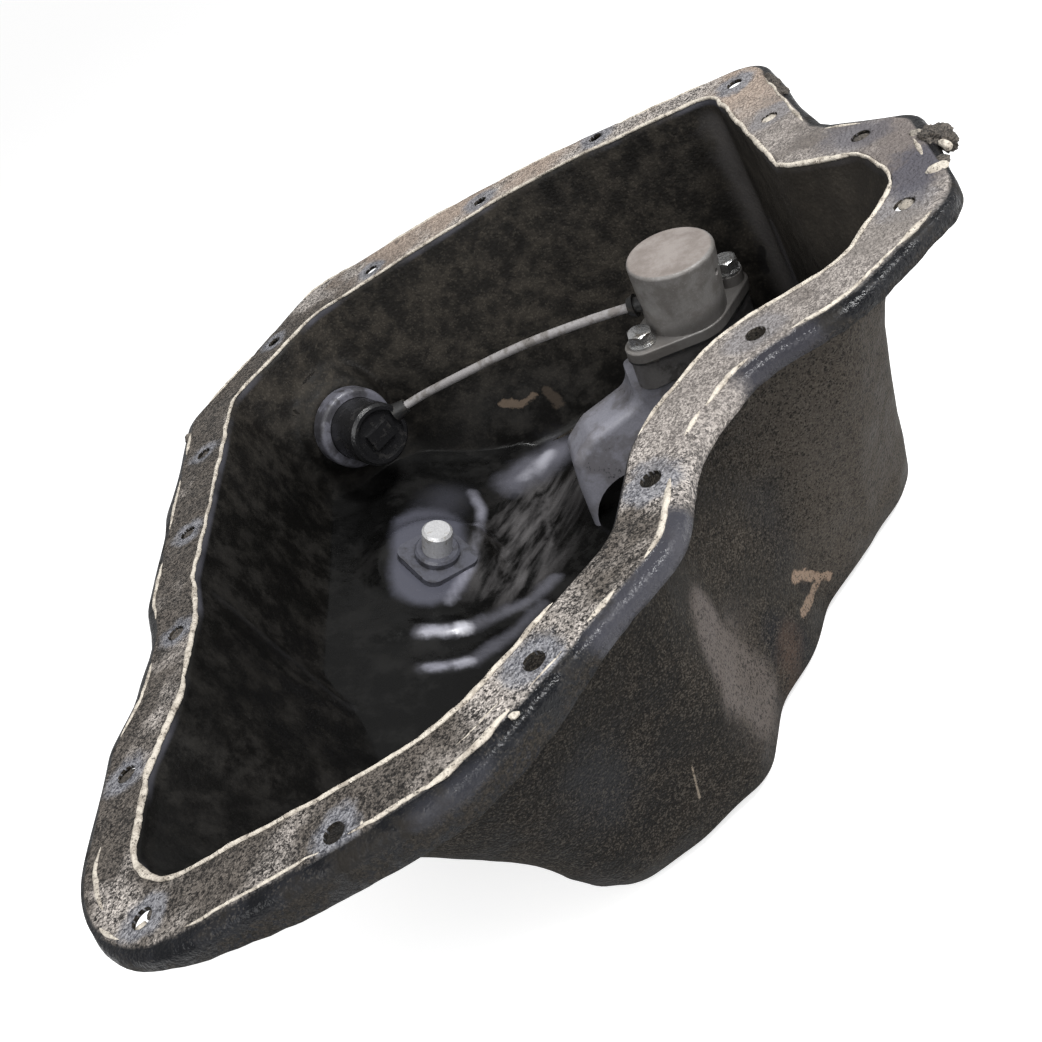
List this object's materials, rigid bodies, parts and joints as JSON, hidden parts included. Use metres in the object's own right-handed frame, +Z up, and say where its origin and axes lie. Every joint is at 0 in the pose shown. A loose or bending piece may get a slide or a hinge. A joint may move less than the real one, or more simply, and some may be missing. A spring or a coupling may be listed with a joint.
{
  "type": "engine oil pan",
  "caption": "Pressed-steel engine oil sump with bolt flange, lobe, ramped floor, drain plug, float-type oil level sensor on a bracket and its wired wall terminal.",
  "frame": {"origin": "centre of the pan's bounding box in plan, at the underside of the flat sump floor", "axes": "+Z up out of the opening; +X towards the flange's narrow lobe; -Y towards the short side rail beside the corner ramp; +Y towards the long straight rail"},
  "size_m": [0.3436, 0.4006, 0.13],
  "materials": {
    "pan_paint": "worn black paint, oily inside",
    "nut_plate": "painted, oily",
    "zinc": "zinc plated",
    "washer_metal": "dull",
    "bracket_paint": "satin grey, oily",
    "block_cast": "cast, dull",
    "gasket_rubber": "matte",
    "can_cast": "cast, satin",
    "sensor_plastic": "matte",
    "float_foam": "matte",
    "lead_sleeve": "satin sleeve",
    "connector_plastic": "satin",
    "ring_metal": "oily grey",
    "washer_steel": "dull",
    "pin_brass": "tinned"
  },
  "bodies": {
    "pan": {"pan_shell": "pan_paint", "drain_nut_plate": "nut_plate", "drain_plug": "zinc", "drain_plug_washer": "washer_metal", "sensor_bracket": "bracket_paint", "sensor_block": "block_cast", "sensor_gasket": "gasket_rubber", "sensor_can": "can_cast", "sensor_stem": "sensor_plastic", "sensor_float_clip": "zinc", "sensor_bolt_left": "zinc", "sensor_bolt_right": "zinc", "sensor_washer_left": "zinc", "sensor_washer_right": "zinc", "sensor_lead": "lead_sleeve", "can_grommet": "gasket_rubber", "connector_boot": "gasket_rubber", "connector_body": "connector_plastic", "connector_ring": "ring_metal", "connector_seal": "gasket_rubber", "connector_circlip": "washer_steel", "connector_pins": "pin_brass"},
    "float": {"sensor_float": "float_foam"}
  },
  "joints": [
    {"name": "float_rise", "type": "slide", "parent": "pan", "child": "float", "axis": [0.1894, -0.0997, 0.9768], "range_m": [0, 0.0127]}
  ]
}
